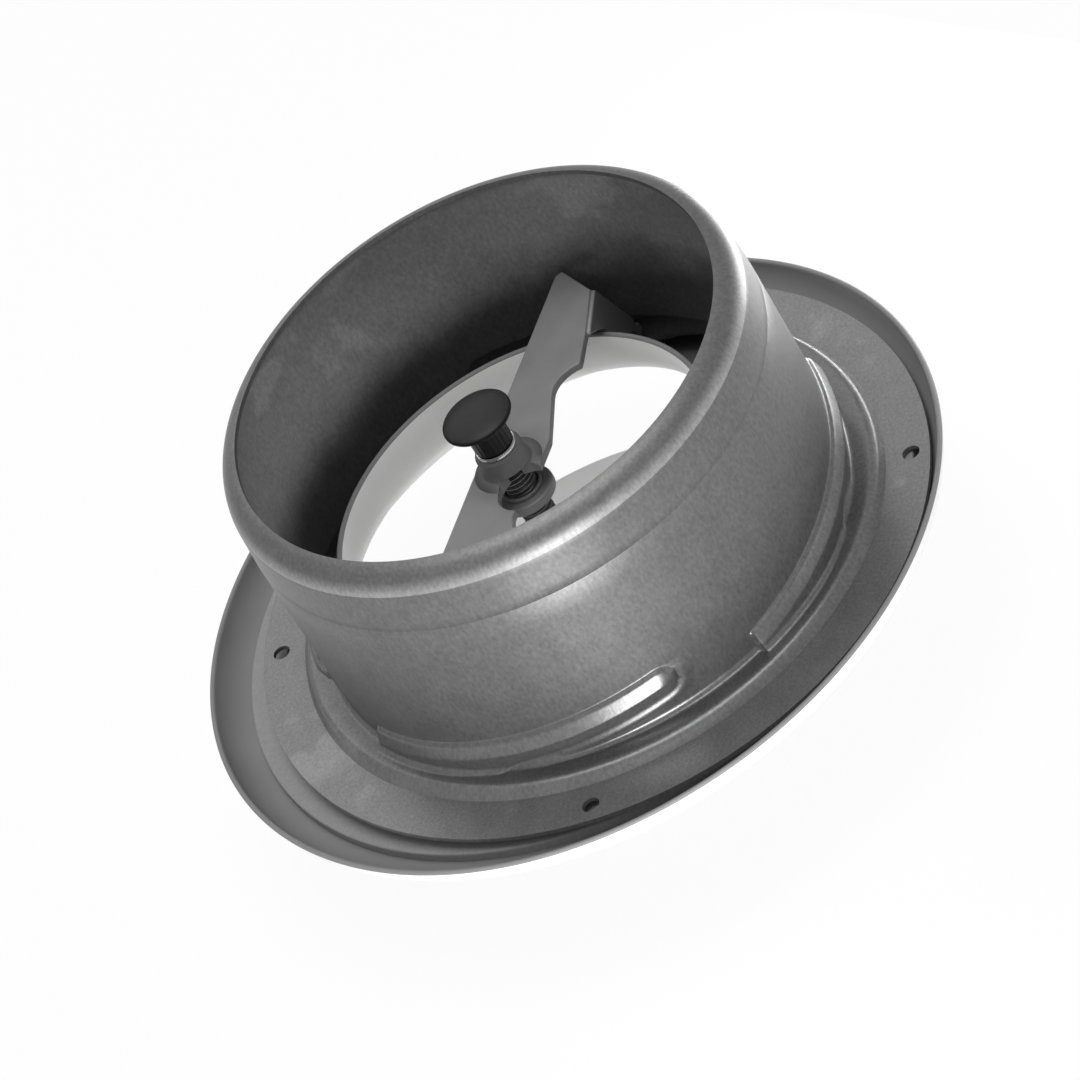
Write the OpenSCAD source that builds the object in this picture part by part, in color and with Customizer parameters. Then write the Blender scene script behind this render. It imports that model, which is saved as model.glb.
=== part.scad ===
// Disc valve with its bayonet mounting frame, laid face down, duct collar up.
// Origin on the collar's axis in the flange's ceiling side. +Z runs into the duct.
// +X runs along the bridge that carries the spindle.

/* [Mounting frame] */
// Outer diameter of the duct collar
collar_d = 98.5; // [90:0.5:110]
// Height of the collar above the flange
collar_h = 50; // [40:1:70]
// Sheet of the mounting frame
frame_sheet = 0.9; // [0.6:0.1:1.2]
// Radius rolled in at the collar's mouth
mouth_roll_r = 5.5; // [3:0.5:8]
// Turn of the mouth roll, in degrees
mouth_roll_turn = 80; // [60:5:90]
// Width of the flange, out from the collar
flange_w = 14.25; // [13:0.25:18]
// Width of the raised bead round the foot
bead_w = 4.4; // [3:0.1:6]
// Height of the bead above the flange
bead_h = 1.9; // [1.2:0.1:2.5]
// Hollow radius between the collar and the bead
foot_fillet_r = 1.2; // [0.8:0.1:2]
// Distance of the screw circle from the collar
screw_reach = 10.75; // [9:0.25:11]
// Diameter of a screw hole
screw_hole_d = 3.2; // [2.5:0.1:4.5]
// Number of screw holes
screw_count = 4; // [3:1:6]
// Angle of the first screw hole
screw_angle = 18.7; // [0:0.1:60]

/* [Bayonet channels] */
// Number of pressed channels
channel_count = 4; // [2:2:4]
// Angle of the first channel's low end
channel_angle = -30.8; // [-45:0.1:0]
// Turn of a channel
channel_turn = 69.6; // [60:0.2:75]
// Height of the low end's middle above the flange
channel_low_z = 3.0; // [2.5:0.1:4]
// Rise of a channel over its turn
channel_rise = 6.4; // [4:0.1:8]
// Inner half width of a channel
channel_half_w = 2.2; // [1.8:0.1:2.6]
// Depth of a channel behind the collar's inner wall
channel_depth = 1.85; // [1.4:0.05:2.2]
// Sheet left over the channel's crest
channel_sheet = 0.7; // [0.5:0.05:0.9]
// Turn over which a channel is open to the front
entry_turn = 23; // [15:1:28]

/* [Valve seat] */
// Sideways offset of the valve in its channels
seat_offset = 4.55; // [0:0.05:4.6]
// Rock of the valve about the bridge, in degrees
seat_rock = 1.65; // [0:0.05:1.7]
// Gap between the gasket and the flange where it comes closest
gasket_gap = 0.25; // [0.2:0.05:0.6]
// Space between the gasket and the bends beside its seat
gasket_edge_gap = 0.1; // [0.05:0.05:1]

/* [Front ring] */
// Overhang of the front ring past the flange
ring_overhang = 7.35; // [6.5:0.05:10]
// Sheet of the front ring
ring_sheet = 1.0; // [0.8:0.1:1.2]
// Depth of the front ring's face below the flange's ceiling side
ring_face_z = 6.0; // [5.8:0.1:7]
// Space between the throat and the collar's inner wall
throat_gap = 13.05; // [12.5:0.05:16]
// Height of the throat's upper edge
throat_top_z = 18.35; // [16:0.05:20]
// Straight length at the throat's upper edge
throat_land = 2.25; // [1:0.05:4]
// Radius that turns the throat into the flank
throat_bend_r = 16; // [14:0.5:18]
// Angle of the flank, in degrees from the spindle
flank_angle = 49; // [46:0.5:50]
// Radius at the foot of the flank
flank_foot_r = 12; // [10:0.5:14]
// Radius of the rolled outer edge
edge_roll_r = 6.65; // [6:0.05:8]
// Height of the outer edge below the ceiling side
edge_top_z = 0.3; // [0:0.1:1]

/* [Bridge] */
// Sheet of the bridge
bridge_sheet = 1.5; // [1.2:0.1:1.8]
// Height of the bridge's upper face
bridge_top_z = 23.9; // [22:0.1:25]
// Half width of the bridge
bridge_half_w = 6.3; // [5.5:0.1:6.6]
// Space between the bridge's ends and the collar's inner wall
bridge_end_gap = 1.95; // [1.8:0.05:3]
// Outer diameter of the drawn boss
boss_d = 8.8; // [8:0.1:9.4]
// Diameter of the boss at its foot
boss_foot_d = 13; // [11:0.1:14]
// Height of the boss above the bridge
boss_h = 4.7; // [4:0.1:6]
// Radius of the notch beside the boss
notch_r = 5.1; // [4:0.1:5.4]
// Radius of the round end of the hollow in the far arm
hollow_r = 5.7; // [4.5:0.1:6.5]
// Space between a lug's tongue and the channel's inner crest
tongue_gap = 1.3; // [1.1:0.05:1.6]

/* [Spindle] */
// Diameter of the spindle's thread
thread_d = 6; // [5:1:6]
// Running clearance of the thread, on the radius
thread_gap = 0.05; // [0.02:0.01:0.1]
// Diameter of the spindle's foot
spindle_foot_d = 13; // [10:0.5:16]
// Thickness of the spindle's foot
spindle_foot_t = 1.2; // [0.8:0.1:2]
// Thickness of the stop washer
stop_washer_t = 0.9; // [0.6:0.1:1.2]
// Diameter of the stop washer
stop_washer_d = 7.6; // [7.4:0.1:8.6]
// Diameter of the cap's head
cap_d = 13; // [11:0.5:15]
// Diameter of the cap's stem
cap_stem_d = 7.2; // [7:0.1:8]
// Height of the cap
cap_h = 8.2; // [7:0.1:10]
// Thickness of the cap's head
cap_head_t = 2.4; // [2:0.1:3]

/* [Lock nut] */
// Diameter of the lock nut
lock_nut_d = 11; // [9:0.5:13]
// Thickness of the lock nut
lock_nut_t = 2; // [1.5:0.1:3]
// Height of the lock nut's middle
lock_nut_z = 17.1; // [14:0.1:19]
// Diameter of the lock washer
lock_washer_d = 7.6; // [7.2:0.1:9]
// Thickness of the lock washer
lock_washer_t = 0.8; // [0.5:0.1:1.2]
// Clearance of a washer round the thread, on the radius
washer_gap = 0.2; // [0.15:0.05:0.4]

/* [Disc] */
// Diameter of the disc
disc_d = 92; // [86:1:96]
// Sheet of the disc
disc_sheet = 1; // [0.8:0.1:1.2]
// Depth of the disc's rim below the ceiling side
disc_rim_z = 20; // [19:0.5:24]
// Depth of the dish
disc_dish = 7; // [5:0.5:9]
// Diameter of the flat middle
disc_flat_d = 60; // [50:1:70]

/* [Hidden] */
$fn = 96;
e = 0.01;

zinc = [0.52, 0.53, 0.54];
white_paint = [0.95, 0.95, 0.94];
foam = [0.72, 0.72, 0.72];
bright_zinc = [0.75, 0.75, 0.74];
black_plastic = [0.08, 0.08, 0.08];

collar_r = collar_d / 2;
collar_in_r = collar_r - frame_sheet;
flange_r = collar_r + flange_w;
screw_circle_r = collar_r + screw_reach;
foot_fillet_x = collar_r + foot_fillet_r;
foot_fillet_z = bead_h + foot_fillet_r;
bead_out_r = foot_fillet_x + bead_w;
channel_in_r = collar_in_r + channel_depth;
channel_out_r = channel_in_r + channel_sheet;
channel_out_half_w = channel_half_w + channel_sheet;
channel_slope = atan(channel_rise / (channel_in_r * channel_turn * PI / 180));
// The channel is laid flat, then tipped about the spoke through its middle.
channel_arc_turn = channel_turn * cos(channel_slope);

ring_r = flange_r + ring_overhang;
throat_r = collar_in_r - throat_gap;
throat_bend_x = throat_r + throat_bend_r;
throat_bend_z = throat_top_z - throat_land;
edge_roll_z = edge_roll_r - ring_face_z;
edge_roll_turn = asin((-edge_top_z - edge_roll_z) / edge_roll_r);
edge_roll_x = ring_r - edge_roll_r * cos(edge_roll_turn);
// The flank runs straight from the throat's bend to its own foot's bend.
flank_foot_z = flank_foot_r - ring_face_z;
bend_end = [throat_bend_x - throat_bend_r * cos(flank_angle),
    throat_bend_z - throat_bend_r * sin(flank_angle)];
foot_start_z = flank_foot_z - flank_foot_r * sin(flank_angle);
flank_run = (bend_end[1] - foot_start_z) * tan(flank_angle);
flank_foot_x = bend_end[0] + flank_run + flank_foot_r * cos(flank_angle);
land_z = -ring_face_z + ring_sheet;

gasket_r = edge_roll_x - gasket_edge_gap;
gasket_in_r = flank_foot_x + gasket_edge_gap;
gasket_top_z = -(frame_sheet + gasket_gap + gasket_r * sin(seat_rock));

thread_r = thread_d / 2;
bridge_half_len = collar_in_r - bridge_end_gap;
lug_reach = channel_in_r - tongue_gap;
boss_r = boss_d / 2;
boss_top_z = bridge_top_z + boss_h;
boss_neck_z = bridge_top_z + boss_h / 2;
washer_bore_r = thread_r + washer_gap;
cap_base_z = boss_top_z + stop_washer_t;
cap_top_z = cap_base_z + cap_h;
spindle_top_z = cap_top_z - cap_head_t;
lock_top_z = lock_nut_z + lock_nut_t / 2;

disc_r = disc_d / 2;
disc_flat_r = disc_flat_d / 2;
disc_back_z = -disc_rim_z - disc_dish;
spindle_foot_top_z = disc_back_z + spindle_foot_t;

// The lug hangs under the bridge's slanted corner.
lug_corner = [bridge_half_len - 5.2, -3.1];
lug_angle = 14;
lug_dir = [cos(lug_angle), sin(lug_angle)];
lug_side = [-sin(lug_angle), cos(lug_angle)];
lug_top_len = 11;
slant_x = 23.4;
corner_cut = 0.9;
lug_bend = 0.3;
lug_tip = (lug_reach - lug_corner[0]) / cos(lug_angle);
lug_shoulder = lug_tip - 1.3;
lug_tongue_z = 5.4;
lug_tongue_h = 1.6;
lug_foot_out = 1.3;
lug_seat_gap = 0.05;
// The side of the lug's plate that looks to the spindle.
lug_near = lug_corner + bridge_sheet * lug_side;
lug_foot_in = lug_at(throat_r + ring_sheet + lug_seat_gap);
// The notch lies towards the near arm's right edge, seen from the duct.
notch_angle = 42.9;
// The shelf beyond the notch, and the ramp that ends it at the arm's edge.
notch_shelf_x = -12.4;
notch_ramp_x = -15.1;
// The hollow in the far arm's right edge is a long ramp that ends in a round.
hollow_x = 17.8;
hollow_depth = 3.4;
hollow_ramp_angle = 16.7;

function arc(x, z, r, from, to, n = 10) =
    [for (i = [0:n]) let (a = from + (to - from) * i / n) [x + r * cos(a), z + r * sin(a)]];

function back_to_front(points) = [for (i = [len(points) - 1:-1:0]) points[i]];

// One face of the frame's section, from the mouth to the flange's rim, a distance inside.
function frame_face(inset) = concat(
    arc(collar_r - mouth_roll_r, collar_h - mouth_roll_r, mouth_roll_r - inset,
        mouth_roll_turn, 0, 10),
    arc(foot_fillet_x, foot_fillet_z, foot_fillet_r + inset, 180, 270, 6),
    arc(bead_out_r - bead_h, 0, bead_h - inset, 90, 30, 5),
    [[bead_out_r + bead_h / 4, -inset], [flange_r, -inset]]);

// One face of the front ring's section, from the throat to the rolled edge.
function ring_face(inset) = concat(
    [[throat_r + inset, throat_top_z]],
    arc(throat_bend_x, throat_bend_z, throat_bend_r - inset, 180, 180 + flank_angle, 12),
    arc(flank_foot_x, flank_foot_z, flank_foot_r - inset, 180 + flank_angle, 270, 8),
    arc(edge_roll_x, edge_roll_z, edge_roll_r - inset, -90, edge_roll_turn, 10));

// Height of the ring's back at a distance from the spindle, on the bend or on the flank.
back_bend_r = throat_bend_r - ring_sheet;
back_bend_end = throat_bend_x - back_bend_r * cos(flank_angle);
function ring_back_z(r) = r < back_bend_end
    ? throat_bend_z - sqrt(back_bend_r * back_bend_r - (throat_bend_x - r) * (throat_bend_x - r))
    : bend_end[1] + (bend_end[0] - r) / tan(flank_angle) + ring_sheet / sin(flank_angle);

module seated() {
    translate([0, seat_offset, 0])
        rotate([-seat_rock, 0, 0])
            children();
}

module wedge(turn, r_in, r_out, z0, z1) {
    rotate_extrude(angle = turn)
        translate([r_in, z0])
            square([r_out - r_in, z1 - z0]);
}

// A round bar bent to the channel's line, with a round high end.
module channel_bar(half_w, crest_r) {
    middle = channel_turn / 2;
    bar_r = crest_r - half_w;
    translate([0, 0, channel_low_z + channel_rise / 2])
        rotate([0, 0, middle])
            rotate([channel_slope, 0, 0]) {
                rotate([0, 0, -channel_arc_turn / 2])
                    rotate_extrude(angle = channel_arc_turn)
                        translate([bar_r, 0])
                            circle(half_w);
                rotate([0, 0, channel_arc_turn / 2])
                    translate([bar_r, 0, 0])
                        sphere(half_w);
            }
}

module each_channel() {
    for (i = [0:channel_count - 1])
        rotate([0, 0, channel_angle + i * 360 / channel_count])
            children();
}

module mounting_frame() {
    color(zinc)
        difference() {
            union() {
                rotate_extrude()
                    polygon(concat(frame_face(0), back_to_front(frame_face(frame_sheet))));
                each_channel() {
                    difference() {
                        channel_bar(channel_out_half_w, channel_out_r);
                        cylinder(h = collar_h, r = collar_r - frame_sheet / 2, center = true);
                    }
                    wedge(entry_turn, collar_r - frame_sheet / 2, channel_out_r,
                        bead_h - frame_sheet, channel_low_z + 0.4);
                }
            }
            each_channel() {
                intersection() {
                    channel_bar(channel_half_w, channel_in_r);
                    cylinder(h = collar_h, r = channel_in_r + 1);
                }
                wedge(entry_turn - 1, collar_in_r - 2, channel_in_r, -frame_sheet - e,
                    channel_low_z);
            }
            for (i = [0:screw_count - 1])
                rotate([0, 0, screw_angle + i * 360 / screw_count])
                    translate([screw_circle_r, 0, -frame_sheet - 1])
                        cylinder(h = frame_sheet + 2, d = screw_hole_d);
        }
}

module ring_gasket() {
    color(foam)
        seated()
            rotate_extrude()
                translate([gasket_in_r, land_z])
                    square([gasket_r - gasket_in_r, gasket_top_z - land_z]);
}

module front_ring() {
    color(white_paint)
        seated()
            rotate_extrude()
                polygon(concat(ring_face(0), back_to_front(ring_face(ring_sheet))));
}

// Outline of the bridge, seen from the duct. Each slanted corner stops inside its lug.
module bridge_outline() {
    w = bridge_half_w;
    l = bridge_half_len;
    slant = concat([[slant_x, -w]],
        [for (u = [-lug_top_len, 0]) lug_corner + u * lug_dir + bridge_sheet / 2 * lug_side],
        [[l, w - corner_cut], [l - corner_cut, w]]);
    middle_y = hollow_depth - w - hollow_r;
    foot_x = hollow_x - hollow_r * sin(hollow_ramp_angle)
        - (middle_y + hollow_r * cos(hollow_ramp_angle) + w) / tan(hollow_ramp_angle);
    polygon(concat(slant, [for (p = slant) -p], [[foot_x, -w]],
        arc(hollow_x, middle_y, hollow_r, 90 + hollow_ramp_angle,
            asin((-w - middle_y) / hollow_r), 8)));
}

// The notch in the near arm, open to the bridge's edge and up to the foot of the boss.
module notch_beside_boss() {
    away = thread_r - 0.45 + notch_r;
    x = -away * cos(notch_angle);
    y = -away * sin(notch_angle);
    out = -bridge_half_w - 1;
    ramp = (notch_ramp_x - notch_shelf_x) / (bridge_half_w + y);
    translate([0, 0, bridge_top_z - bridge_sheet - 1])
        linear_extrude(bridge_sheet + 2.1)
            union() {
                translate([x, y])
                    circle(notch_r);
                polygon([[x, y], [notch_shelf_x, y], [notch_ramp_x + ramp, out], [x, out]]);
            }
}

// Place along a lug's plate where its near side is a distance from the spindle.
function lug_at(r) = sqrt(pow(lug_near * lug_dir, 2) - lug_near * lug_near + r * r)
    - lug_near * lug_dir;

// Lower edge of a lug's leg, a small gap above the ring's back.
function lug_foot_edge(n) = [for (i = [0:n])
    let (u = lug_foot_out + (lug_foot_in - lug_foot_out) * i / n)
    [u, ring_back_z(norm(lug_near + u * lug_dir)) + lug_seat_gap]];

// A lug in its own plane, with its tongue and the leg that meets the ring.
module lug_plate() {
    polygon(concat([[-lug_top_len, bridge_top_z - bridge_sheet / 2],
        [-lug_top_len + 0.5, bridge_top_z - lug_bend], [0, bridge_top_z - lug_bend],
        [lug_shoulder, 9.6], [lug_shoulder, lug_tongue_z + lug_tongue_h + 0.4],
        [lug_tip, lug_tongue_z + lug_tongue_h], [lug_tip, lug_tongue_z],
        [lug_shoulder - 0.9, lug_tongue_z], [lug_shoulder - 2.2, 8],
        [lug_foot_out + 1.4, 9.4], [lug_foot_out, 8.4]],
        lug_foot_edge(6), [[lug_foot_in, throat_top_z + lug_seat_gap], [-6.4, 20]]));
}

module lug() {
    translate([lug_corner[0], lug_corner[1], 0])
        rotate([0, 0, lug_angle])
            translate([0, bridge_sheet, 0])
                rotate([90, 0, 0])
                    linear_extrude(bridge_sheet)
                        lug_plate();
}

module boss() {
    rotate_extrude()
        polygon([[0, bridge_top_z - bridge_sheet / 2],
            [boss_foot_d / 2, bridge_top_z - bridge_sheet / 2],
            [boss_foot_d / 2, bridge_top_z + 0.05], [boss_r + 0.9, bridge_top_z + 0.8],
            [boss_r + 0.25, bridge_top_z + 1.8], [boss_r, boss_neck_z],
            [boss_r, boss_top_z - 0.4], [boss_r - 0.4, boss_top_z], [0, boss_top_z]]);
}

module bridge() {
    color(zinc)
        seated()
            difference() {
                union() {
                    translate([0, 0, bridge_top_z - bridge_sheet])
                        linear_extrude(bridge_sheet)
                            bridge_outline();
                    boss();
                    lug();
                    rotate([0, 0, 180])
                        lug();
                }
                notch_beside_boss();
                translate([0, 0, bridge_top_z - bridge_sheet - 1])
                    cylinder(h = boss_h + bridge_sheet + 2, r = thread_r + thread_gap);
            }
}

module stop_washer() {
    color(bright_zinc)
        seated()
            translate([0, 0, boss_top_z])
                difference() {
                    cylinder(h = stop_washer_t, d = stop_washer_d);
                    translate([0, 0, -1])
                        cylinder(h = stop_washer_t + 2, r = washer_bore_r);
                }
}

module spindle_cap() {
    head_z = cap_h - cap_head_t;
    color(black_plastic)
        seated()
            translate([0, 0, cap_base_z])
                rotate_extrude()
                    polygon(concat(
                        [[cap_stem_d / 2 - 0.3, 0], [cap_stem_d / 2, 0.3],
                            [cap_stem_d / 2, head_z - 0.9], [cap_stem_d / 2 + 0.9, head_z],
                            [cap_d / 2 - 0.6, head_z + 0.3]],
                        arc(cap_d / 2 - 0.6, head_z + 0.9, 0.6, -90, 70, 6),
                        [[cap_d / 4, cap_h - 0.25], [0, cap_h], [0, head_z + e],
                            [thread_r + e, head_z + e], [thread_r + e, 0]]));
}

module spindle() {
    color(bright_zinc)
        seated() {
            translate([0, 0, spindle_foot_top_z - 0.2])
                cylinder(h = spindle_top_z - spindle_foot_top_z + 0.2, r = thread_r);
            translate([0, 0, disc_back_z])
                cylinder(h = spindle_foot_t, d = spindle_foot_d);
        }
}

module lock_washer() {
    color(bright_zinc)
        seated()
            translate([0, 0, lock_top_z])
                difference() {
                    cylinder(h = lock_washer_t, d = lock_washer_d);
                    translate([0, 0, -1])
                        cylinder(h = lock_washer_t + 2, r = washer_bore_r);
                }
}

module lock_nut() {
    color(zinc)
        seated()
            translate([0, 0, lock_top_z - lock_nut_t])
                difference() {
                    rotate_extrude()
                        polygon([[0, 0], [lock_nut_d / 2 - 0.3, 0], [lock_nut_d / 2, 0.3],
                            [lock_nut_d / 2, lock_nut_t - 0.3],
                            [lock_nut_d / 2 - 0.3, lock_nut_t], [0, lock_nut_t]]);
                    translate([0, 0, -1])
                        cylinder(h = lock_nut_t + 2, r = thread_r + thread_gap);
                }
}

module disc() {
    slope = atan(disc_dish / (disc_r - disc_flat_r));
    color(white_paint)
        seated()
            rotate_extrude()
                polygon([[0, disc_back_z - disc_sheet],
                    [disc_flat_r, disc_back_z - disc_sheet],
                    [disc_r, -disc_rim_z - disc_sheet],
                    [disc_r, -disc_rim_z],
                    [disc_flat_r - disc_sheet * tan(slope / 2), disc_back_z],
                    [0, disc_back_z]]);
}

mounting_frame();
ring_gasket();
front_ring();
bridge();
stop_washer();
spindle_cap();
spindle();
lock_washer();
lock_nut();
disc();
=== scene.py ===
import math
import bmesh
import bpy
from mathutils import Matrix, Vector


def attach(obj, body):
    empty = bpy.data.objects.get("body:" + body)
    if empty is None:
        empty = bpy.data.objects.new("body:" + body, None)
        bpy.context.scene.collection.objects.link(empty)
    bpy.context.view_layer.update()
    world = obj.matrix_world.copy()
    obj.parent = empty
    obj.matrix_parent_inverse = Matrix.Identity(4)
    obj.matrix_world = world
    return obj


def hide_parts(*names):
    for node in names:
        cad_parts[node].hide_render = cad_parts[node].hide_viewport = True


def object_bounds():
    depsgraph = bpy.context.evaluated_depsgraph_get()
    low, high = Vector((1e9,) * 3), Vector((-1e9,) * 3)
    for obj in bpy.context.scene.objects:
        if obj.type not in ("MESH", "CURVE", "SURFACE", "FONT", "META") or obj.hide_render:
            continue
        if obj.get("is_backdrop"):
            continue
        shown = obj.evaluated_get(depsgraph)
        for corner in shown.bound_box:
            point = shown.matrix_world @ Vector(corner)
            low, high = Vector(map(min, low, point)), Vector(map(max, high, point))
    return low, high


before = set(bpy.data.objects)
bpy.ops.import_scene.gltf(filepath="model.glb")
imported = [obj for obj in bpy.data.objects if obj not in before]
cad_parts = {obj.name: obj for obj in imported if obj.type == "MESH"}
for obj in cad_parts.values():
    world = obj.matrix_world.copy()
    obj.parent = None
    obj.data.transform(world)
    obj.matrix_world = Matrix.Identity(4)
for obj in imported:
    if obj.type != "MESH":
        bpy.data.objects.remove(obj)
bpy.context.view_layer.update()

MM = 0.001

# Mounting frame
COLLAR_R = 49.25 * MM
COLLAR_H = 50.0 * MM
FRAME_SHEET = 0.9 * MM
MOUTH_ROLL_R = 5.5 * MM
MOUTH_ROLL_TURN = 80.0
FLANGE_R = 63.5 * MM
BEAD_W = 4.4 * MM
BEAD_H = 1.9 * MM
FOOT_FILLET_R = 1.2 * MM
SCREW_CIRCLE_R = 60.0 * MM
SCREW_HOLE_R = 1.6 * MM
SCREW_ANGLE = 18.7
# The flange's ring of faces that the screw holes are let into
HOLE_RING_IN = 57.6 * MM
HOLE_RING_OUT = 62.4 * MM
HOLE_PATCH_TURN = 2.6

# Bayonet channels pressed outwards in the collar's foot
# One quarter of the frame holds a channel and a screw hole
QUARTERS = 4
QUARTER_LEAD = 10.0
CHANNEL_ANGLE = -30.8
CHANNEL_TURN = 69.6
CHANNEL_LOW_Z = 3.0 * MM
CHANNEL_RISE = 6.4 * MM
CHANNEL_HALF_W = 2.9 * MM
CHANNEL_PUSH = 1.62 * MM
CHANNEL_SLOPE = 0.36
CHANNEL_EDGE_SLOPE = 2.6
SWELL_AWAY = 4.4 * MM
SWELL_W = 0.85 * MM
SWELL_PUSH = 0.32 * MM
CHANNEL_REACH_Z = 13.0 * MM
ENTRY_TURN = 23.0

# Band between the crease below the mouth and the rolled lip
BAND_Z = 37.4 * MM
BAND_IN = 0.35 * MM
BAND_GROOVE = 0.05 * MM

# Pose of the valve in its channels
SEAT_OFFSET = 4.55 * MM
SEAT_ROCK = math.radians(1.65)
SEAT = Matrix.Translation((0, SEAT_OFFSET, 0)) @ Matrix.Rotation(-SEAT_ROCK, 4, "X")

# Front ring and gasket
RING_SHEET = 1.0 * MM
RING_FACE_Z = 6.0 * MM
RING_R = 70.85 * MM
THROAT_R = 35.3 * MM
THROAT_TOP_Z = 18.35 * MM
THROAT_LAND = 2.25 * MM
THROAT_BEND_R = 16.0 * MM
FLANK_ANGLE = 49.0
FLANK_FOOT_R = 12.0 * MM
EDGE_ROLL_R = 6.65 * MM
EDGE_TOP_Z = 0.3 * MM
GASKET_IN_R = 56.92 * MM
GASKET_R = 64.17 * MM
GASKET_TOP_Z = -3.0 * MM

# Boss of the bridge
BRIDGE_TOP_Z = 23.9 * MM
BRIDGE_HALF_W = 6.3 * MM
BOSS_R = 4.4 * MM
BOSS_FOOT_R = 6.5 * MM
BOSS_NECK_Z = 26.3 * MM
BOSS_FLARE = 0.35
# Faces of a CAD copy above this area are plates, shaded flat
PLATE_AREA = 4.0 * MM * MM

# Spindle, cap and disc
THREAD_R = 3.0 * MM
THREAD_PITCH = 1.0 * MM
BOSS_TOP_Z = 28.6 * MM
STOP_WASHER_T = 0.9 * MM
CAP_BASE_Z = BOSS_TOP_Z + STOP_WASHER_T
CAP_H = 8.2 * MM
CAP_R = 6.5 * MM
CAP_STEM_R = 3.6 * MM
CAP_HEAD_T = 2.4 * MM
DISC_R = 46.0 * MM
DISC_RIM_Z = 20.0 * MM
DISC_DISH = 7.0 * MM
DISC_FLAT_R = 30.0 * MM
DISC_SHEET = 1.0 * MM
SPINDLE_FOOT_R = 6.5 * MM
SPINDLE_FOOT_T = 1.2 * MM
SPINDLE_TOP_Z = 35.3 * MM
THREAD_DEPTH = 0.61 * MM

# Share of the floor's white that doesn't depend on the lamps
FLOOR_GLOW = 0.93

FRAME_STEPS = 480
RING_STEPS = 288


class Value:
    """A shader socket that takes part in arithmetic."""

    def __init__(self, finish, socket):
        self.finish = finish
        self.socket = socket

    def maths(self, operation, *values):
        return self.finish.node("Math", {"operation": operation}, dict(enumerate(values)))

    def __add__(self, other):
        return self.maths("ADD", self, other)

    def __radd__(self, other):
        return self.maths("ADD", other, self)

    def __sub__(self, other):
        return self.maths("SUBTRACT", self, other)

    def __rsub__(self, other):
        return self.maths("SUBTRACT", other, self)

    def __mul__(self, other):
        return self.maths("MULTIPLY", self, other)

    def __rmul__(self, other):
        return self.maths("MULTIPLY", other, self)

    def __truediv__(self, other):
        return self.maths("DIVIDE", self, other)

    def __pow__(self, other):
        return self.maths("POWER", self, other)

    def less(self, other):
        return self.maths("LESS_THAN", self, other)

    def clamp(self):
        return self.finish.node("Clamp", {}, {0: self})


class Finish:
    """A material whose nodes are written as expressions."""

    def __init__(self, name):
        self.material = bpy.data.materials.new(name)
        self.material.use_nodes = True
        self.tree = self.material.node_tree
        self.shader = self.tree.nodes["Principled BSDF"]
        self.shader_out = Value(self, self.shader.outputs[0])
        self.place = self.node("TexCoord", {}, {}, "Object")

    def node(self, name, settings, inputs, output=0):
        node = self.tree.nodes.new("ShaderNode" + name)
        for key, value in settings.items():
            if key == "stops":
                for index, (position, color) in enumerate(value):
                    ramp = node.color_ramp.elements
                    stop = ramp[index] if index < len(ramp) else ramp.new(position)
                    stop.position = position
                    stop.color = color
            else:
                setattr(node, key, value)
        for key, value in inputs.items():
            self.put(node.inputs[key], value)
        return Value(self, node.outputs[output])

    def put(self, socket, value):
        if isinstance(value, Value):
            self.tree.links.new(value.socket, socket)
        else:
            socket.default_value = value

    def set(self, **sockets):
        for name, value in sockets.items():
            self.put(self.shader.inputs[name.replace("_", " ")], value)

    def noise(self, scale, detail=4.0, roughness=0.55, stretch=(1, 1, 1), shift=(0, 0, 0)):
        mapped = self.node("Mapping", {}, {"Vector": self.place, "Scale": stretch,
                                           "Location": shift})
        return self.node("TexNoise", {}, {"Vector": mapped, "Scale": scale,
                                          "Detail": detail, "Roughness": roughness}, "Fac")

    def axis(self, name):
        return self.node("SeparateXYZ", {}, {0: self.place}, name)

    def tone(self, value, low, high, dark, light):
        """Maps a value between two limits onto a run from dark to light."""
        share = self.node("MapRange", {"clamp": True},
                          {"Value": value, "From Min": low, "From Max": high})
        return self.node("MixRGB", {}, {0: share, 1: dark, 2: light})

    def range(self, value, low, high, to_low, to_high):
        return self.node("MapRange", {"clamp": True},
                         {"Value": value, "From Min": low, "From Max": high,
                          "To Min": to_low, "To Max": to_high})

    def bump(self, height, strength, distance):
        self.set(Normal=self.node("Bump", {}, {"Height": height, "Strength": strength,
                                               "Distance": distance}, "Normal"))


def grey(level, warm=0.0):
    return (level * (1 + warm), level, level * (1 - warm), 1.0)


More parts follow.
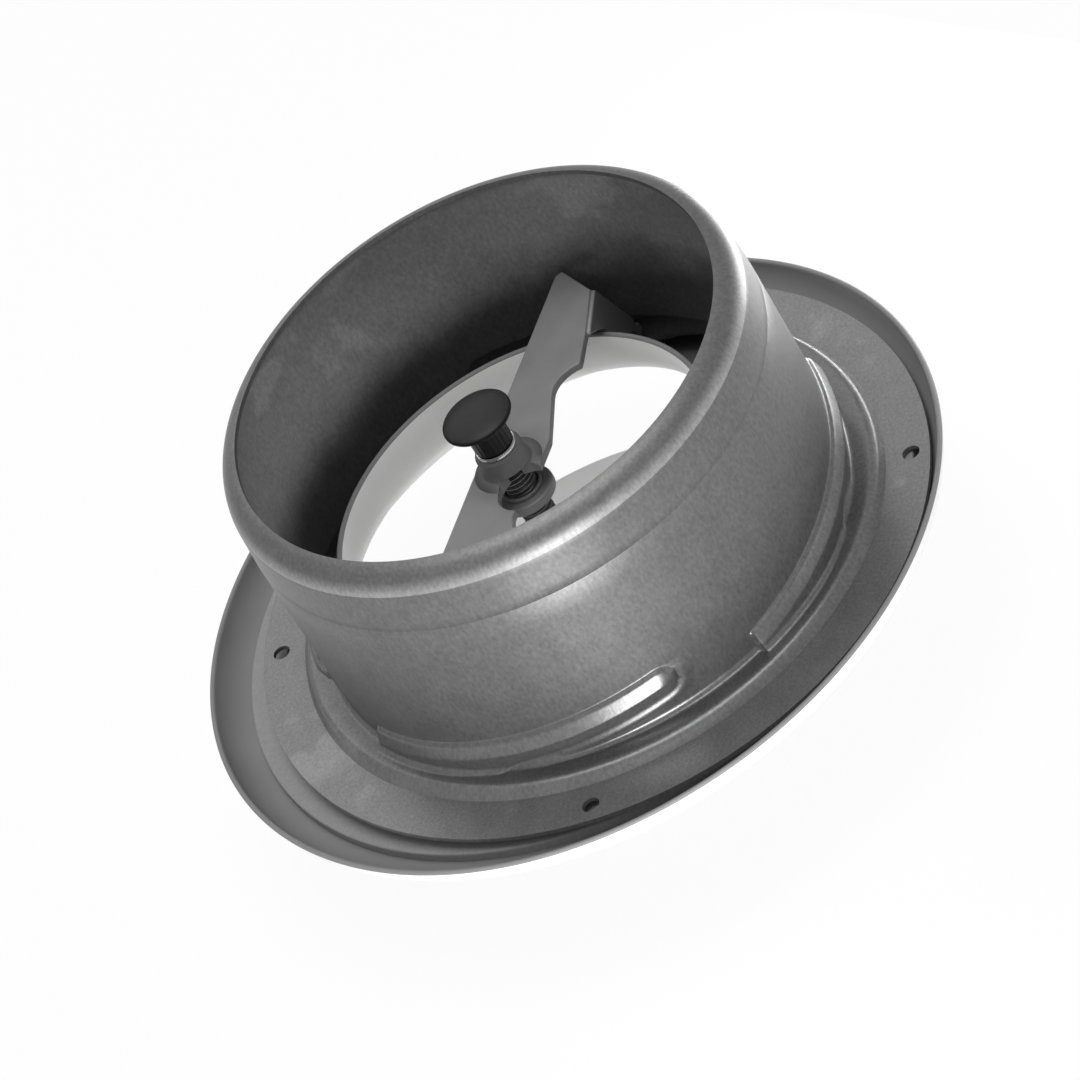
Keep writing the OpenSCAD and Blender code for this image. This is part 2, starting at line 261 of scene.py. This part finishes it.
def galvanised_sheet():
    finish = Finish("drawn_galvanised_sheet")
    cloud = finish.noise(26.0, 4.0, 0.6)
    mottle = finish.noise(210.0, 4.0, 0.65)
    grain = finish.noise(1700.0, 3.0, 0.6, stretch=(1.0, 1.0, 0.55))
    drawn = finish.noise(2300.0, 2.0, 0.5, stretch=(1.0, 1.0, 0.12))
    tint = cloud * 0.22 + mottle * 0.18 + grain * 0.6
    worn = finish.range(finish.axis("Z"), 8 * MM, 15 * MM, 0.0, 1.0)
    radius = (finish.axis("X") ** 2.0 + finish.axis("Y") ** 2.0) ** 0.5
    height = finish.axis("Z")
    # Painted light: above a ragged line 19 to 29 mm up, the inner wall is painted lighter and made
    # less metallic where light from the mouth falls. Below that line the unlifted tone stands as
    # painted shade. The mouth's lip is left out.
    shade_edge_height = height + (cloud - 0.5) * 0.02
    lit_inner_wall = (radius.less(COLLAR_R - FRAME_SHEET / 2)
              * finish.range(height, COLLAR_H - 2 * MM, COLLAR_H - 4 * MM, 0.0, 1.0)
              * finish.range(shade_edge_height, 19 * MM, 29 * MM, 0.0, 1.0))
    # Painted light: the upward-facing flange is painted a quarter lighter and made less metallic
    # than the collar, standing in for light from above.
    lit_flange = finish.range(radius, COLLAR_R + 3 * MM, COLLAR_R + 7 * MM, 0.0, 1.0)
    spots = finish.noise(48.0, 3.0, 0.6, shift=(3.1, 1.7, 0.4))
    patches = finish.range(spots, 0.57, 0.63, 0.0, 1.0) * (lit_flange + lit_inner_wall).clamp()
    # Painted light: the tone is lifted by 0.8 on the lit inner wall and by 0.25 on the flange. This
    # is on top of the random grain and the patches.
    level = (finish.range(tint, 0.36, 0.64, 0.110, 0.170) * (lit_inner_wall * 0.8 + lit_flange * 0.25 + 1.0)
             * (patches * 0.28 + 1.0))
    color = finish.node("CombineColor", {}, {0: level, 1: level, 2: level})
    finish.set(Base_Color=color,
               Metallic=0.65 - lit_inner_wall * 0.3 - lit_flange * 0.15,
               Roughness=finish.range(cloud * 0.4 + mottle * 0.6, 0.35, 0.65, 0.30, 0.35)
               + worn * 0.11)
    finish.bump(grain * 0.7 + drawn * 0.3, 0.45, 0.00006)
    return finish.material


def bare_back():
    finish = Finish("bare_back")
    cloud = finish.noise(45.0, 4.0)
    grain = finish.noise(1800.0, 2.0)
    finish.set(Base_Color=finish.tone(cloud, 0.35, 0.65, grey(0.17), grey(0.19)),
               Metallic=0.0,
               Roughness=finish.range(cloud, 0.3, 0.7, 0.62, 0.7))
    finish.bump(grain, 0.10, 0.00003)
    return finish.material


def disc_back():
    finish = Finish("disc_back")
    cloud = finish.noise(45.0, 4.0)
    finish.set(Base_Color=finish.tone(cloud, 0.35, 0.65, grey(0.62), grey(0.68)),
               Metallic=0.0,
               Roughness=finish.range(cloud, 0.3, 0.7, 0.5, 0.6))
    return finish.material


def white_paint():
    finish = Finish("white_paint")
    cloud = finish.noise(60.0, 3.0)
    finish.set(Base_Color=finish.tone(cloud, 0.3, 0.7, grey(0.78, 0.004), grey(0.82, 0.004)),
               Roughness=finish.range(cloud, 0.3, 0.7, 0.28, 0.36))
    finish.bump(finish.noise(900.0, 2.0), 0.08, 0.00004)
    return finish.material


def bridge_steel():
    finish = Finish("bridge_steel")
    cloud = finish.noise(120.0, 4.0)
    grain = finish.noise(3000.0, 2.0)
    finish.set(Base_Color=finish.tone(cloud, 0.35, 0.65, grey(0.20), grey(0.23)),
               Metallic=0.25,
               Roughness=finish.range(cloud, 0.3, 0.7, 0.50, 0.60))
    finish.bump(grain, 0.12, 0.00003)
    return finish.material


def bright_zinc():
    finish = Finish("bright_zinc")
    cloud = finish.noise(400.0, 3.0)
    finish.set(Base_Color=finish.tone(cloud, 0.3, 0.7, grey(0.50, 0.01), grey(0.62, 0.01)),
               Metallic=1.0,
               Roughness=finish.range(cloud, 0.3, 0.7, 0.14, 0.24))
    return finish.material


def spindle_steel():
    finish = Finish("spindle_steel")
    cloud = finish.noise(500.0, 3.0)
    finish.set(Base_Color=finish.tone(cloud, 0.3, 0.7, grey(0.14), grey(0.20)),
               Metallic=1.0,
               Roughness=finish.range(cloud, 0.3, 0.7, 0.36, 0.44))
    return finish.material


def black_plastic():
    finish = Finish("black_plastic")
    grain = finish.noise(1500.0, 2.0)
    finish.set(Base_Color=finish.tone(grain, 0.3, 0.7, grey(0.012), grey(0.017)),
               Specular_IOR_Level=0.22,
               Roughness=finish.range(grain, 0.3, 0.7, 0.40, 0.48))
    finish.bump(grain, 0.08, 0.00002)
    return finish.material


def foam():
    finish = Finish("foam")
    cells = finish.noise(1400.0, 4.0, 0.7)
    finish.set(Base_Color=finish.tone(cells, 0.35, 0.65, grey(0.23), grey(0.27)),
               Roughness=0.9)
    finish.bump(cells, 0.12, 0.00006)
    return finish.material


def arc(x, z, r, start, stop, steps):
    """Points on an arc in the spoke's plane, angles in degrees."""
    turns = (start + (stop - start) * i / steps for i in range(steps + 1))
    return [(x + r * math.cos(math.radians(a)), z + r * math.sin(math.radians(a)))
            for a in turns]


def line(start, stop, steps):
    """Points between two points, both left out."""
    shares = (i / steps for i in range(1, steps))
    return [(start[0] + (stop[0] - start[0]) * s, start[1] + (stop[1] - start[1]) * s)
            for s in shares]


def spun(outline, steps, closed=True, lift=0.0, angle=math.tau):
    """Turns an outline of (radius, height) points about the z axis, rising by lift."""
    mesh = bmesh.new()
    points = [mesh.verts.new((x, 0, z)) for x, z in outline]
    pairs = list(zip(points, points[1:]))
    if closed:
        pairs.append((points[-1], points[0]))
    edges = [mesh.edges.new(pair) for pair in pairs]
    bmesh.ops.spin(mesh, geom=points + edges, cent=(0, 0, 0), axis=(0, 0, 1),
                   dvec=(0, 0, lift / steps), angle=angle, steps=steps,
                   use_merge=lift == 0 and angle == math.tau)
    bmesh.ops.remove_doubles(mesh, verts=mesh.verts, dist=1e-6)
    bmesh.ops.recalc_face_normals(mesh, faces=mesh.faces)
    return mesh


def piece(name, mesh, body, materials, nodes, place=None, sharp=40.0):
    """Makes a bmesh an object that rides on a body and replaces nodes."""
    if place is not None:
        bmesh.ops.transform(mesh, matrix=place, verts=mesh.verts)
    data = bpy.data.meshes.new(name)
    mesh.to_mesh(data)
    mesh.free()
    data.shade_smooth()
    data.set_sharp_from_angle(angle=math.radians(sharp))
    item = bpy.data.objects.new(name, data)
    bpy.context.scene.collection.objects.link(item)
    for material in materials:
        data.materials.append(material)
    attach(item, body)
    if nodes:
        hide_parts(*nodes)
    return item


def frame_face(inset, fine):
    """One face of the mounting frame, from the mouth to the flange's rim."""
    foot_x = COLLAR_R + FOOT_FILLET_R
    foot_z = BEAD_H + FOOT_FILLET_R
    wall_x = COLLAR_R - inset
    mouth_z = COLLAR_H - MOUTH_ROLL_R
    bead_out = foot_x + BEAD_W
    rim = (bead_out + BEAD_H / 4, -inset)
    roll_x = COLLAR_R - MOUTH_ROLL_R
    mouth = arc(roll_x, mouth_z, MOUTH_ROLL_R - inset, MOUTH_ROLL_TURN, 0, 18)
    band = [(wall_x, BAND_Z)]
    if inset == 0:
        squeeze = 1 - BAND_IN / MOUTH_ROLL_R
        mouth = [(roll_x + (x - roll_x) * squeeze, z) for x, z in mouth]
        band = [(wall_x, BAND_Z + 0.12 * MM), (wall_x - BAND_GROOVE, BAND_Z),
                (wall_x, BAND_Z - 0.12 * MM)]
    low = (wall_x, CHANNEL_REACH_Z)
    fillet = arc(foot_x, foot_z, FOOT_FILLET_R + inset, 180, 270, 8)
    bead = arc(bead_out - BEAD_H, 0, BEAD_H - inset, 90, 30, 8)
    return (mouth + line(mouth[-1], band[0], 4) + band + line(band[-1], low, 5)
            + [low] + line(low, fillet[0], fine) + fillet + line(fillet[-1], bead[0], 4) + bead
            + [rim, (HOLE_RING_IN, -inset), (HOLE_RING_OUT, -inset), (FLANGE_R, -inset)])


def smooth_step(value):
    value = min(max(value, 0.0), 1.0)
    return value * value * (3 - 2 * value)


def soft_low(one, other, width):
    """The lower of two values, with a rounded change from one to the other."""
    return (one + other - math.hypot(one - other, 2 * width)) / 2


def channel_push(turn, z):
    """How far the channel is pressed out at a turn from its low end and a height."""
    run = COLLAR_R * math.radians(turn)
    length = COLLAR_R * math.radians(CHANNEL_TURN)
    middle_z = CHANNEL_LOW_Z + CHANNEL_RISE * min(max(turn / CHANNEL_TURN, 0), 1)
    away = abs(z - middle_z)
    apart = math.hypot(away, max(run - length, 0))
    if z < middle_z:
        away *= smooth_step((turn - ENTRY_TURN + 10) / 30)
    away = math.hypot(away, max(run - length, 0))
    crest = CHANNEL_PUSH + 0.05 * MM - math.hypot(CHANNEL_SLOPE * away, 0.05 * MM)
    edge = CHANNEL_EDGE_SLOPE * (CHANNEL_HALF_W - away)
    bar = soft_low(crest, edge, 0.15 * MM)
    push = -soft_low(-bar, 0, 0.10 * MM)
    tip = smooth_step((run + 0.22 * MM) / (0.44 * MM))
    end = 1 - smooth_step((away - 4 * MM) / MM)
    below = smooth_step((middle_z + MM - z) / (3 * MM)) * smooth_step((turn - ENTRY_TURN) / 14)
    beyond = smooth_step((run - length) / (3 * MM)) * smooth_step((middle_z + 3 * MM - z) / (3 * MM))
    swell = SWELL_PUSH * math.exp(-((apart - SWELL_AWAY) / SWELL_W) ** 2) * max(below, beyond)
    return push * tip * end + swell


def press_channel(mesh):
    """Presses the helical channel outwards in the collar's foot."""
    gather = 3.0
    for vert in mesh.verts:
        if vert.co.z > CHANNEL_REACH_Z:
            continue
        turn = math.degrees(math.atan2(vert.co.y, vert.co.x)) - CHANNEL_ANGLE
        if abs(turn) < gather:
            # The columns of the mesh are drawn together at the abrupt low end.
            drawn = math.copysign(gather * (abs(turn) / gather) ** 1.6, turn)
            shift = (drawn - turn) * (1 - smooth_step((vert.co.z - 9 * MM) / (4 * MM)))
            vert.co = Matrix.Rotation(math.radians(shift), 3, "Z") @ vert.co
            turn += shift
        radius = vert.co.xy.length
        if vert.co.z < 0.2 * MM or radius > COLLAR_R + 3.5 * MM:
            continue
        push = channel_push(turn, vert.co.z)
        push *= 1 - smooth_step((radius - COLLAR_R - MM) / (2.4 * MM))
        vert.co.xy *= 1 + push / radius


def patch_rim(mesh, centre, z):
    """The open edges left round a hole on one face of the flange."""
    return [edge for edge in mesh.edges if edge.is_boundary
            and all(abs(v.co.z - z) < 0.01 * MM and (v.co.xy - centre).length < 4.5 * MM
                    for v in edge.verts)]


def let_in_screw_hole(mesh):
    """Opens the flange's ring of faces at the screw and joins it to a round hole."""
    angle = math.radians(SCREW_ANGLE)
    spoke = Vector((math.cos(angle), math.sin(angle)))
    centre = spoke * SCREW_CIRCLE_R
    patch = []
    for face in mesh.faces:
        middle = face.calc_center_median()
        away = spoke.angle(middle.xy) if middle.xy.length > HOLE_RING_IN else math.pi
        if middle.xy.length < HOLE_RING_OUT and away < math.radians(HOLE_PATCH_TURN):
            patch.append(face)
    bmesh.ops.delete(mesh, geom=patch, context="FACES")
    rings = []
    for z in (0, -FRAME_SHEET):
        around = patch_rim(mesh, centre, z)
        place = Matrix.Translation((centre.x, centre.y, z))
        ring = bmesh.ops.create_circle(mesh, cap_ends=False, radius=SCREW_HOLE_R,
                                       segments=40, matrix=place)["verts"]
        edges = list({edge for vert in ring for edge in vert.link_edges})
        bmesh.ops.bridge_loops(mesh, edges=around + edges)
        rings += edges
    bmesh.ops.bridge_loops(mesh, edges=rings)


def mounting_frame(material):
    """One quarter is modelled with its channel and hole, then turned to all four places."""
    outline = frame_face(0, 66) + frame_face(FRAME_SHEET, 26)[::-1]
    quarter = math.tau / QUARTERS
    mesh = spun(outline, FRAME_STEPS // QUARTERS, angle=quarter)
    start = math.radians(CHANNEL_ANGLE - QUARTER_LEAD)
    bmesh.ops.rotate(mesh, verts=mesh.verts, cent=(0, 0, 0),
                     matrix=Matrix.Rotation(start, 3, "Z"))
    let_in_screw_hole(mesh)
    press_channel(mesh)
    bmesh.ops.spin(mesh, geom=mesh.verts[:] + mesh.edges[:] + mesh.faces[:], cent=(0, 0, 0),
                   axis=(0, 0, 1), angle=math.tau - quarter, steps=QUARTERS - 1,
                   use_duplicate=True)
    bmesh.ops.remove_doubles(mesh, verts=mesh.verts, dist=1e-6)
    bmesh.ops.recalc_face_normals(mesh, faces=mesh.faces)
    return piece("mounting_frame_shell", mesh, "frame", [material],
                 ["mounting_frame"])


def ring_face(inset):
    """One face of the front ring, from below the throat's edge to the rolled edge."""
    bend_x = THROAT_R + THROAT_BEND_R
    bend_z = THROAT_TOP_Z - THROAT_LAND
    flank = math.radians(FLANK_ANGLE)
    roll_x, roll_z, roll_turn = edge_roll()
    foot_z = FLANK_FOOT_R - RING_FACE_Z
    end_x = bend_x - THROAT_BEND_R * math.cos(flank)
    end_z = bend_z - THROAT_BEND_R * math.sin(flank)
    drop = end_z - (foot_z - FLANK_FOOT_R * math.sin(flank))
    foot_x = end_x + drop * math.tan(flank) + FLANK_FOOT_R * math.cos(flank)
    return ([(THROAT_R + inset, THROAT_TOP_Z - RING_SHEET / 2)]
            + arc(bend_x, bend_z, THROAT_BEND_R - inset, 180, 180 + FLANK_ANGLE, 24)
            + arc(foot_x, foot_z, FLANK_FOOT_R - inset, 180 + FLANK_ANGLE, 270, 14)
            + arc(roll_x, roll_z, EDGE_ROLL_R - inset, -90, roll_turn, 20))


def edge_roll():
    """Centre of the rolled edge, and how far round the sheet is rolled."""
    z = EDGE_ROLL_R - RING_FACE_Z
    turn = math.asin((-EDGE_TOP_Z - z) / EDGE_ROLL_R)
    return RING_R - EDGE_ROLL_R * math.cos(turn), z, math.degrees(turn)


def paint_front(mesh):
    """Gives the faces that look into the room or the throat the second material."""
    for face in mesh.faces:
        normal = face.normal
        outwards = normal.xy.dot(face.calc_center_median().xy)
        face.material_index = int(normal.z < -0.01 or (normal.z < 0.01 and outwards < 0))


def front_ring(paint, back):
    half = RING_SHEET / 2
    roll_x, roll_z, roll_turn = edge_roll()
    tip = math.radians(roll_turn)
    tip_x = roll_x + (EDGE_ROLL_R - half) * math.cos(tip)
    tip_z = roll_z + (EDGE_ROLL_R - half) * math.sin(tip)
    outline = (ring_face(0) + arc(tip_x, tip_z, half, roll_turn, roll_turn + 180, 8)[1:-1]
               + ring_face(RING_SHEET)[::-1]
               + arc(THROAT_R + half, THROAT_TOP_Z - half, half, 0, 180, 8)[1:-1])
    mesh = spun(outline, RING_STEPS)
    paint_front(mesh)
    return piece("front_ring_pressing", mesh, "valve", [back, paint],
                 ["front_ring"], SEAT)


def gasket(material):
    soft = 0.4 * MM
    bottom = -RING_FACE_Z + RING_SHEET
    outline = [(GASKET_IN_R, bottom), (GASKET_R, bottom)]
    outline += arc(GASKET_R - soft, GASKET_TOP_Z - soft, soft, 0, 90, 5)
    outline += arc(GASKET_IN_R + soft, GASKET_TOP_Z - soft, soft, 90, 180, 5)
    return piece("foam_gasket", spun(outline, 192), "seal", [material],
                 ["ring_gasket"], SEAT)


def disc(paint, back):
    bottom = -DISC_RIM_Z - DISC_DISH
    half = DISC_SHEET / 2
    outline = [(0, bottom - DISC_SHEET), (DISC_FLAT_R - MM, bottom - DISC_SHEET),
               (DISC_FLAT_R + MM, bottom - DISC_SHEET + 0.25 * MM)]
    outline += arc(DISC_R - half, -DISC_RIM_Z - half, half, -70, 110, 8)
    outline += [(DISC_FLAT_R + 0.8 * MM, bottom + 0.25 * MM), (DISC_FLAT_R - 1.2 * MM, bottom),
                (0, bottom)]
    mesh = spun(outline, 192, closed=False)
    paint_front(mesh)
    return piece("dished_disc", mesh, "spindle", [back, paint], ["disc"], SEAT)


def cap(material):
    head_z = CAP_H - CAP_HEAD_T
    outline = [(THREAD_R, 0), (CAP_STEM_R - 0.3 * MM, 0), (CAP_STEM_R, 0.3 * MM),
               (CAP_STEM_R, head_z - 0.9 * MM), (CAP_STEM_R + 0.3 * MM, head_z - 0.35 * MM),
               (CAP_STEM_R + 0.9 * MM, head_z), (CAP_R - 0.6 * MM, head_z + 0.3 * MM)]
    outline += arc(CAP_R - 0.6 * MM, head_z + 0.9 * MM, 0.6 * MM, -90, 70, 8)
    outline += [(CAP_R * 0.75, CAP_H - 0.55 * MM), (CAP_R / 2, CAP_H - 0.25 * MM),
                (CAP_R / 4, CAP_H - 0.06 * MM), (0, CAP_H)]
    mesh = spun(outline, 144, closed=False)
    for vert in mesh.verts:
        radius = math.hypot(vert.co.x, vert.co.y)
        if vert.co.z < head_z - 0.5 * MM and radius > CAP_STEM_R - 0.1 * MM:
            rib = math.cos(24 * math.atan2(vert.co.y, vert.co.x))
            vert.co.xy *= 1 - 0.025 * (1 - rib) / 2
    place = SEAT @ Matrix.Translation((0, 0, CAP_BASE_Z))
    return piece("spindle_cap_moulding", mesh, "spindle", [material],
                 ["spindle_cap"], place)


def spindle(material):
    """The threaded rod with its foot on the disc."""
    foot_z = -DISC_RIM_Z - DISC_DISH
    root = THREAD_R - THREAD_DEPTH
    start = foot_z + SPINDLE_FOOT_T / 2
    turns = int((SPINDLE_TOP_Z - start) / THREAD_PITCH)
    outline = []
    for i in range(turns):
        z = start + i * THREAD_PITCH
        outline += [(root, z), (root, z + 0.2 * THREAD_PITCH),
                    (THREAD_R, z + 0.53 * THREAD_PITCH), (THREAD_R, z + 0.67 * THREAD_PITCH)]
    mesh = spun(outline, 40, closed=False, lift=THREAD_PITCH)
    ends = [edge for edge in mesh.edges if edge.is_boundary]
    bmesh.ops.holes_fill(mesh, edges=ends, sides=0)
    foot = [(0, foot_z), (SPINDLE_FOOT_R - 0.2 * MM, foot_z), (SPINDLE_FOOT_R, foot_z + 0.2 * MM)]
    foot += [(SPINDLE_FOOT_R, foot_z + SPINDLE_FOOT_T - 0.2 * MM),
             (SPINDLE_FOOT_R - 0.2 * MM, foot_z + SPINDLE_FOOT_T), (0, foot_z + SPINDLE_FOOT_T)]
    add_mesh(mesh, spun(foot, 64, closed=False))
    return piece("threaded_spindle", mesh, "spindle", [material],
                 ["spindle"], SEAT, sharp=50.0)


def add_mesh(mesh, other):
    """Adds one bmesh to another and frees it."""
    data = bpy.data.meshes.new("part")
    other.to_mesh(data)
    other.free()
    mesh.from_mesh(data)
    bpy.data.meshes.remove(data)


def soften_boss(mesh):
    """Makes the foot of the bridge's boss a soft fillet and returns the edges kept sharp."""
    bmesh.ops.transform(mesh, matrix=SEAT.inverted(), verts=mesh.verts)
    mesh.normal_update()
    free = {vert for vert in mesh.verts if all(face.normal.z > 0.2 for face in vert.link_faces)}
    for vert in mesh.verts:
        radius = vert.co.xy.length
        if radius > BOSS_FOOT_R + 0.01 * MM or vert.co.z < BRIDGE_TOP_Z + 0.01 * MM:
            continue
        if vert.co.z < BRIDGE_TOP_Z + 0.1 * MM:
            vert.co.z = BRIDGE_TOP_Z + 0.005 * MM
            if vert in free:
                vert.co.xy *= (BOSS_R + (radius - BOSS_R) * BOSS_FLARE) / radius
        elif vert.co.z < BOSS_NECK_Z and radius > BOSS_R:
            vert.co.xy *= (BOSS_R + (radius - BOSS_R) * BOSS_FLARE) / radius
    kept = {edge for edge in mesh.edges
            if any(v.co.z < BOSS_NECK_Z and v.co.xy.length < BOSS_FOOT_R + 1.5 * MM
                   for v in edge.verts)}
    bmesh.ops.transform(mesh, matrix=SEAT, verts=mesh.verts)
    return kept


def rounded_copy(node, name, body, material, width):
    """A copy of a CAD node with its sharp edges broken."""
    mesh = bmesh.new()
    mesh.from_mesh(cad_object(node).data)
    bmesh.ops.remove_doubles(mesh, verts=mesh.verts, dist=1e-6)
    bmesh.ops.dissolve_limit(mesh, angle_limit=math.radians(0.5), verts=mesh.verts,
                             edges=mesh.edges)
    kept = soften_boss(mesh) if node == "bridge" else set()
    hard = [edge for edge in mesh.edges if len(edge.link_faces) == 2 and edge not in kept
            and edge.calc_face_angle() > math.radians(42)]
    bmesh.ops.bevel(mesh, geom=hard, offset=width, offset_type="OFFSET", affect="EDGES",
                    segments=3, profile=0.5, material=-1, clamp_overlap=False)
    item = piece(name, mesh, body, [material], [node], sharp=35.0)
    for polygon in item.data.polygons:
        polygon.use_smooth = polygon.area < PLATE_AREA
    return item


def cad_object(name):
    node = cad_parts[name]
    return node if isinstance(node, bpy.types.Object) else bpy.data.objects[name]


def camera():
    data = bpy.data.cameras.new("camera")
    data.sensor_width = 36.0
    data.lens = 218.3
    data.clip_start = 0.05
    data.clip_end = 20.0
    item = bpy.data.objects.new("camera", data)
    right = Vector((0.29905, -0.86014, -0.41320))
    up = Vector((0.75496, -0.05157, 0.65374))
    back = Vector((-0.58361, -0.50745, 0.63395))
    turn = Matrix((right, up, back)).transposed().to_4x4()
    item.matrix_world = Matrix.Translation((-0.66642, -0.57116, 0.72831)) @ turn
    bpy.context.scene.collection.objects.link(item)
    bpy.context.scene.camera = item
    return item


def soft_panel(name, turn, rise, distance, width, height, radiance):
    """A soft panel that faces the origin and glows at a radiance, out of the camera's sight."""
    data = bpy.data.lights.new(name, "AREA")
    data.shape = "RECTANGLE"
    data.size = width
    data.size_y = height
    data.energy = radiance * math.pi * width * height
    turn = math.radians(turn)
    rise = math.radians(rise)
    place = Vector((math.cos(turn) * math.cos(rise), math.sin(turn) * math.cos(rise),
                    math.sin(rise))) * distance
    item = bpy.data.objects.new(name, data)
    item.location = place
    item.rotation_euler = (-place).to_track_quat("-Z", "Y").to_euler()
    item.visible_camera = False
    bpy.context.scene.collection.objects.link(item)
    return item


def floor():
    mesh = bmesh.new()
    bmesh.ops.create_grid(mesh, x_segments=1, y_segments=1, size=6.0)
    bmesh.ops.translate(mesh, verts=mesh.verts, vec=(0, 0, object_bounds()[0][2] - 0.0002))
    data = bpy.data.meshes.new("floor")
    mesh.to_mesh(data)
    mesh.free()
    item = bpy.data.objects.new("floor", data)
    bpy.context.scene.collection.objects.link(item)
    item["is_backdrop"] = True
    finish = Finish("floor_white")
    finish.set(Base_Color=grey(0.7), Roughness=0.9)
    path = {name: finish.node("LightPath", {}, {}, name)
            for name in ("Is Camera Ray", "Is Glossy Ray", "Is Transmission Ray")}
    seen = (path["Is Camera Ray"] + path["Is Glossy Ray"] + path["Is Transmission Ray"]).clamp()
    glow = finish.node("Emission", {}, {"Color": grey(1.0), "Strength": 1.0})
    mixed = finish.node("MixShader", {}, {0: seen * FLOOR_GLOW, 1: finish.shader_out, 2: glow})
    finish.tree.links.new(mixed.socket, finish.tree.nodes["Material Output"].inputs["Surface"])
    data.materials.append(finish.material)
    return item


def surroundings():
    world = bpy.data.worlds.new("studio")
    bpy.context.scene.world = world
    world.use_nodes = True
    tree = world.node_tree
    tree.nodes["Background"].inputs["Color"].default_value = grey(0.55)
    tree.nodes["Background"].inputs["Strength"].default_value = 1.0


camera()
floor()
surroundings()
soft_panel("front_panel", 212, 2, 0.6, 0.22, 0.12, 30.0)
soft_panel("low_front_panel", 208, -1, 0.17, 0.06, 0.05, 8.5)
soft_panel("side_panel", 285, 6, 0.6, 0.30, 0.16, 1.0)
soft_panel("low_far_panel", 344, -1, 0.155, 0.110, 0.050, 10.0)
soft_panel("back_panel", 50, 36, 0.8, 0.60, 0.50, 0.8)
soft_panel("top_panel", 180, 90, 0.9, 0.60, 0.60, 4.0)

STEEL = galvanised_sheet()
BACK = bare_back()
DISC_BACK = disc_back()
WHITE = white_paint()
BRIDGE = bridge_steel()
ZINC = bright_zinc()
SPINDLE = spindle_steel()
BLACK = black_plastic()
FOAM = foam()

mounting_frame(STEEL)
front_ring(WHITE, BACK)
gasket(FOAM)
disc(WHITE, DISC_BACK)
cap(BLACK)
spindle(SPINDLE)
rounded_copy("bridge", "bridge_pressing", "valve", BRIDGE, 0.25 * MM)
rounded_copy("lock_nut", "lock_nut_turned", "lock", BRIDGE, 0.2 * MM)
rounded_copy("stop_washer", "stop_washer_ring", "stop", ZINC, 0.15 * MM)
rounded_copy("lock_washer", "lock_washer_ring", "lock_lift_ring", BRIDGE,
             0.15 * MM)

bpy.context.scene.view_settings.view_transform = "Standard"
